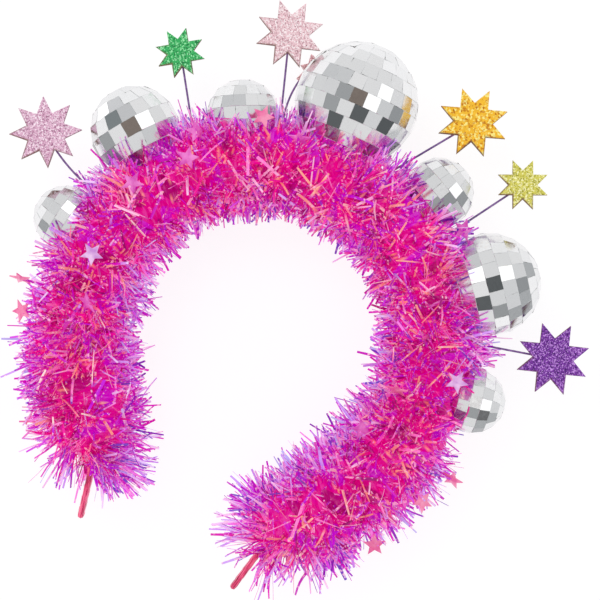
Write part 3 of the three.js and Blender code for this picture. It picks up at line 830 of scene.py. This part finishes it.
def makeBand():
    # a rounded rectangle carried along the band; its size rises along each turn of ribbon, then drops;
    # each end is rounded over and fanned shut
    rings, sides = 560, 28
    half = bandHalfLength
    along = np.linspace(-half, half, rings)
    point, tangent, outward = bandPlace(along)
    turn = np.linspace(0, 2 * np.pi, sides, endpoint=False)
    wide, thick = softPower(np.cos(turn), 0.45), softPower(np.sin(turn), 0.8)
    wound = (along[:, None] / band["ribbonPitch"] + turn / (2 * np.pi)) % 1.0
    lift = band["ribbonLift"] * (wound - 0.5)
    close = quarterRound((half - np.abs(along)) / band["endLength"])[:, None] * 0.9 + 0.1
    height = (band["width"] / 2 * wide + np.sign(wide) * lift) * close
    depth = (band["thickness"] / 2 * thick + np.sign(thick) * lift) * close
    points = (point[:, None] + height[..., None] * zUp + depth[..., None] * outward[:, None]).reshape(-1, 3)
    points = np.concatenate([points, point[:1], point[-1:]])
    faces = closedTube(rings, sides)[:, ::-1]
    piece = addPiece("satinBand", points, faces, [satinPaint], "band")
    uv = np.stack([np.repeat(along, sides), np.tile(turn / (2 * np.pi) * band["ribbonWeave"], rings)], -1)
    uv = np.concatenate([uv, [[-half, 0], [half, 0]]])
    layer = piece.data.uv_layers.new(name="wrap")
    layer.data.foreach_set("uv", uv[faces.ravel()].astype(np.float32).ravel())


makeBand()
print("band made")


def platePose(node):
    # the middle, face normal and one tip of a flat CAD plate, from the spread of its corners
    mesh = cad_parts[node].data
    corners = np.empty(len(mesh.vertices) * 3, np.float32)
    mesh.vertices.foreach_get("co", corners)
    corners = np.unique(np.round(corners.reshape(-1, 3).astype(float) / mm, 3), axis=0)
    middle = corners.mean(0)
    spread = np.linalg.svd(corners - middle)[2][2]
    normal = spread * np.sign(spread[2])
    flat = corners - middle
    flat = flat - np.outer(flat @ normal, normal)
    return middle, normal, flat[np.argmax(np.linalg.norm(flat, axis=1))]


def starOutline(look, radius, start=0.0, tipsOdd=0):
    # corners in turn at the tips and at the notches between them
    corner = np.arange(2 * look["points"])
    turn = 2 * np.pi * corner / len(corner) + start
    reach = radius * np.where(corner % 2 == tipsOdd, 1.0, look["notch"])
    return np.stack([reach * np.cos(turn), reach * np.sin(turn)], -1)


def starPlate(look, outline):
    # a star about the origin: the outline in rings, drawn in at the bevels and at the face's rims, from the
    # middle of the back to the middle of the face, which the dome raises
    sides = np.linalg.norm(outline, axis=1, keepdims=True)
    t, b = look["thickness"] / 2, look["bevel"]
    rings = []
    for high, inset in ((-t, b), (-t + b, 0), (t - b, 0), *((t, b + rim) for rim in look["rims"])):
        flat = outline * (1 - look["mitre"] * inset / sides)
        rings.append(np.column_stack([flat, np.full(len(flat), high)]))
    middles = [(0, 0, -t + look["dome"]), (0, 0, t + look["dome"])]
    return np.concatenate([*rings, middles]), closedTube(len(rings), len(outline))


# glitter stars: foam card under a glitter film
card = {
    "thickness": 2.0, "bevel": 0.16, "mitre": 1.9, "dome": 0.0, "notch": 0.55, "points": 8, "steps": 4,
    "rims": (0, 0.5), "edge": (118, 78, 60), "glow": 0.16,
}
# base, low and high tones, flecks in each metre, and how dark the rim is, partly bare card and partly painted shade
starLooks = {
    "lilac": ((222, 176, 202), (178, 126, 156), (255, 234, 246), 2300, 0.8),
    "green": ((52, 176, 94), (16, 126, 64), (160, 238, 176), 2300, 0.8),
    "pink": ((235, 198, 205), (198, 154, 164), (255, 242, 244), 2300, 0.75),
    "rose": ((222, 168, 176), (180, 110, 116), (255, 226, 226), 2300, 0.4),
    "orange": ((246, 190, 44), (208, 132, 12), (255, 236, 136), 1250, 0.9),
    "yellow": ((214, 208, 94), (168, 164, 48), (250, 246, 184), 2000, 0.85),
    "purple": ((118, 46, 158), (66, 14, 104), (206, 150, 234), 2700, 0.5),
}


def fleckGroup():
    # glitter: each cell of a voronoi pattern is a fleck with its own tone and its own tilt; the low and high tones
    # are partly the flecks' own colours and partly painted shade and painted glints
    group = newGroup(
        "glitterFlecks", {"Low": "Color", "Base": "Color", "High": "Color", "Grain": "Float"},
        {"Color": "Color", "Normal": "Vector", "Roughness": "Float"},
    )
    given = group.nodes.new("NodeGroupInput").outputs
    cells = addNode(group, "TexVoronoi", Vector=objectPlace(group), Scale=given["Grain"]).outputs["Color"]
    parts = addNode(group, "SeparateColor", Color=cells).outputs
    tone = mixed(group, mapped(group, parts["Red"], 0.62, 0.8), given["Base"], given["Low"])
    tone = mixed(group, mapped(group, parts["Green"], 0.66, 0.86), tone, given["High"])
    tilt = vectorMath(group, "SUBTRACT", cells, (0.5, 0.5, 0.5)).outputs["Vector"]
    tilt = addNode(group, "VectorMath", operation="SCALE", Vector=tilt, Scale=0.9).outputs["Vector"]
    facing = addNode(group, "NewGeometry").outputs["Normal"]
    turned = vectorMath(group, "ADD", facing, tilt).outputs["Vector"]
    feed(
        group, group.nodes.new("NodeGroupOutput"), Color=tone,
        Normal=vectorMath(group, "NORMALIZE", turned).outputs["Vector"],
        Roughness=mapped(group, parts["Blue"], 0.0, 1.0, 0.22, 0.6),
    )
    return group


glitterFlecks = fleckGroup()
edgeStops = [(0.35, 70, 42, 34), (0.65, 158, 112, 88)]
edgePaint = noisePaint("cut_card_edge", card["edge"], 0.8, 0.0, 1800.0, 3.0, edgeStops)


def glitterPaint(name, base, low, high, grain):
    # glitter film, with the card's edge colour where the rim attribute says so: a little bare card, and painted
    # shade; it glows a little with its tone, painted light
    paint, tree, shader = newMaterial(f"glitter_{name}", base, 0.4, 0.35, Emission_Strength=card["glow"])
    flecks = addNode(tree, "Group", node_tree=glitterFlecks, Low=colour(*low), Base=colour(*base),
                     High=colour(*high), Grain=grain).outputs
    tone = mixed(tree, attributeOf(tree, "rim"), flecks["Color"], colour(*card["edge"]))
    feed(tree, shader, Base_Color=tone, Emission_Color=tone, Normal=flecks["Normal"], Roughness=flecks["Roughness"])
    return paint


shadedRimWay = -0.62 * pictureRight - 0.78 * pictureUp  # the side where the dark rim shows most: painted shade


def makeStar(name, *tones, bareRimAndShade):
    # the outline's sides are cut in steps; the plate is then turned to lie as its CAD plate does
    middle, normal, tip = platePose(f"glitter_star_{name}")
    first = unit(tip)
    axes = np.stack([first, np.cross(normal, first), normal])
    sharp = starOutline(card, np.linalg.norm(tip))
    share = np.linspace(0, 1, card["steps"], endpoint=False)[None, :, None]
    outline = (sharp[:, None] * (1 - share) + np.roll(sharp, -1, 0)[:, None] * share).reshape(-1, 2)
    count = len(outline)
    points, faces = starPlate(card, outline)
    pick = (faces.min(1) // count == 1) * (name != "rose")
    piece = addPiece(
        f"glitterStar{name.capitalize()}", points @ axes + middle, faces, [glitterPaint(name, *tones), edgePaint],
        f"glitter_star_{name}", smooth=False, pick=pick,
    )
    # the rim: a little bare card all round, and painted shade that grows towards one side of the picture
    rim = np.zeros(len(points))
    near = unit(outline) @ axes[:2] @ shadedRimWay
    rim[2 * count:4 * count] = bareRimAndShade * np.tile(np.clip(0.35 + 0.9 * near, 0, 1), 2)
    addValues(piece, rim=rim)


for name, (*tones, bareRimAndShade) in starLooks.items():
    makeStar(name, *tones, bareRimAndShade=bareRimAndShade)
print("stars made")

wire = {"radius": 0.42, "gap": 0.3, "turns": 2, "lineOut": 28.0, "bowPlace": 0.62, "sides": 12}
# foot and star as places in mm along a line 28 mm out from the band, how far the star is from the band in mm,
# and the sideways bulge as a share of the wire's length; the rose star's wire has its foot, the number of its
# ball, and its bend and its drop as shares of its length
wires = {
    "lilac": (-118.6, -119.5, 48.68, -0.15),
    "green": (-72.9, -67.1, 50.16, 0.0),
    "pink": (-30.7, -31.6, 55.11, 0.0),
    "orange": (14.7, 34.1, 54.89, 0.0),
    "yellow": (62.9, 59.3, 55.28, 0.0),
    "purple": (107.1, 116.6, 49.89, 0.0),
    "rose": (-26.6, 4, 0.45, 0.03),
}
ballLine = band["archRadius"] + wire["lineOut"]
wirePaint = noisePaint("purple_enamel", (122, 77, 156), 0.35, 0.1, 700.0, 3.0,
                       [(0.35, 104, 66, 134), (0.65, 152, 112, 176)])


def wireStem(name, foot, *values):
    # a quadratic curve from the band's outer side to the star's seat
    foot = np.degrees(foot / ballLine)
    start = archPlace(foot, bandOuter + wire["gap"] + wire["radius"])
    if name == "rose":
        ball, bend, drop = values
        middle, normal, tip = platePose("glitter_star_rose")
        up = unit(ballTable[ball - 1]["centre"] - middle)
        end = middle - up * (card["thickness"] / 2 + wire["gap"] + wire["radius"])
        run = end - start
        away = unit(run - (run @ up) * up)
        length = np.linalg.norm(run)
        control = end - bend * length * away - drop * length * up
    else:
        star, reach, bow = values
        end = archPlace(np.degrees(star / ballLine), band["archRadius"] + reach)
        run = end - start
        sideways = np.array([run[1], -run[0], 0.0]) * bow
        control = (start + run * (wire["bowPlace"] - 0.5) + end) / 2 + sideways
    t = np.linspace(0, 1, 33)[:, None]
    return (1 - t) ** 2 * start + 2 * t * (1 - t) * control + t**2 * end, foot


def wireTube(path, side):
    # a round wire along a path, from a side direction; over its own radius each end is rounded nearly shut
    heading = unit(np.gradient(path, axis=0))
    side = unit(side - (side * heading).sum(-1, keepdims=True) * heading)
    gone = np.concatenate([[0], np.cumsum(np.linalg.norm(np.diff(path, axis=0), axis=1))])
    left = np.minimum(gone, gone[-1] - gone)
    radii = wire["radius"] * (0.96 * quarterRound(left / wire["radius"]) + 0.04)
    return ringTube(path, side, np.cross(heading, side), radii, wire["sides"])


def makeWire(name, values):
    # the stem, and a coil of turns round the band's rounded section, side by side
    stem, foot = wireStem(name, *values)
    turn = np.linspace(0, 2 * np.pi * wire["turns"], 48 * wire["turns"] + 1)
    reach = wire["gap"] + wire["radius"]
    wide = (band["width"] / 2 + reach) * softPower(np.sin(turn), 0.5)
    thick = (band["thickness"] / 2 + reach) * softPower(np.cos(turn), 0.7)
    shift = wire["radius"] * (turn / np.pi - wire["turns"])
    angle = np.radians(foot)
    outward = np.array([np.sin(angle), np.cos(angle), 0.0])
    tangent = np.array([np.cos(angle), -np.sin(angle), 0.0])
    base = bandCentre + band["archRadius"] * outward
    coil = base + shift[:, None] * tangent + thick[:, None] * outward + wide[:, None] * zUp
    points, faces = joinMeshes([wireTube(stem, zUp), wireTube(coil, tangent)])
    addPiece(f"starWire{name.capitalize()}", points, faces, [wirePaint], f"star_wire_{name}")


for name, values in wires.items():
    makeWire(name, values)
print("wires made")

# sequins: pearly film stars, a little domed, each on a film strand that runs in to the core
sequin = {
    "radius": 4.8, "notch": 0.45, "points": 5, "thickness": 0.5, "bevel": 0.12, "mitre": 1.6, "dome": 0.3,
    "rims": (0,), "garland": 27.4, "strand": 1.0, "strandThin": 0.16, "strandEnd": 14.3, "strandRings": 6,
}
# place in mm along the line of the balls, out and lift as shares of the garland's radius, and then the turns
# pitch, roll and spin in degrees
sequins = {
    "rose_1": (-75.4, 0.25, 0.86, 8, -6, 12),
    "rose_2": (-68, 0.6, 0.62, -18, 14, 40),
    "rose_3": (-105.4, 0.3, 0.84, 12, 20, 66),
    "lilac_4": (-146.4, 0.04, 0.9, -8, 4, -14),
    "rose_5": (-172.5, -0.17, 0.88, 42, -20, 30),
    "coral_6": (-170.7, 0.95, 0.12, 66, 10, 24),
    "coral_7": (-183.6, 0.81, 0.34, 18, -26, 50),
    "coral_8": (-38.2, 0.71, 0.68, -6, 10, 4),
    "rose_9": (-20.5, 0.46, 0.76, 58, 8, 20),
    "rose_10": (62.7, 0.93, 0.2, -10, 16, 8),
    "lilac_11": (129.2, 0.39, 0.78, 10, -8, -6),
    "coral_12": (141.1, -0.42, 0.76, 64, 6, 16),
    "rose_13": (175.8, -0.6, 0.6, 14, 22, 34),
    "coral_14": (170.7, 0.94, 0.1, 50, -12, 10),
    "coral_15": (185.3, 0.75, 0.5, -20, 24, 58),
    "coral_16": (214.3, 0.85, 0.06, 12, 10, 26),
}
sequinTones = {
    "rose": ((214, 62, 180), (240, 128, 210)),
    "lilac": ((198, 134, 212), (234, 192, 236)),
    "coral": ((234, 92, 156), (248, 152, 188)),
}


def pearlPaint(name, low, high):
    # clouded film with a clear coat; it glows a little with its tone: painted light
    stops = [(0.38, *low), (0.62, *high)]
    return noisePaint(f"sequin_{name}", low, 0.28, 0.0, 220.0, 3.0, stops, 0.14, Coat_Weight=0.4)


def makeSequin(name, paint, place, out, lift, *turns):
    # the star turned by spin, roll and pitch, and a flat strand from just under it to the core
    along = place * band["archRadius"] / ballLine
    foot, tangent, outward = (v[0] for v in bandPlace(np.array([along])))
    offset = sequin["garland"] * (out * outward + lift * zUp)
    pitch, roll, spin = (Matrix.Rotation(np.radians(turn), 3, axis) for turn, axis in zip(turns, "XYZ"))
    plate, faces = starPlate(sequin, starOutline(sequin, sequin["radius"], start=-np.pi / 2, tipsOdd=1))
    plate = plate @ np.array(pitch @ roll @ spin).T + foot + offset
    distance = np.linalg.norm(offset)
    way = offset / distance
    path = foot + way * np.linspace(sequin["strandEnd"], distance - 0.1, sequin["strandRings"])[:, None]
    ring = np.array([(1, 1), (-1, 1), (-1, -1), (1, -1)]) * (sequin["strand"] / 2, sequin["strandThin"])
    strand = (path[:, None] + ring[:, :1] * tangent + ring[:, 1:] * np.cross(way, tangent)).reshape(-1, 3)
    ends = [[0, 2, 1], [0, 3, 2], [20, 21, 22], [20, 22, 23]]
    strandFaces = np.concatenate([splitFaces(gridFaces(sequin["strandRings"], 4)), ends])
    points, allFaces = joinMeshes([(plate, faces), (strand, strandFaces)])
    pick = np.arange(len(allFaces)) >= len(faces)
    title = "".join(word.capitalize() for word in name.split("_"))
    piece = addPiece(f"sequin{title}", points, allFaces, [paint, foilPaint], f"sequin_{name}",
                     smooth=False, pick=pick)
    addValues(piece, chance=0.4, fringe=0.0, flash=0.0)


pearls = {name: pearlPaint(name, *tones) for name, tones in sequinTones.items()}
for name, values in sequins.items():
    makeSequin(name, pearls[name.split("_")[0]], *values)
print("sequins made")
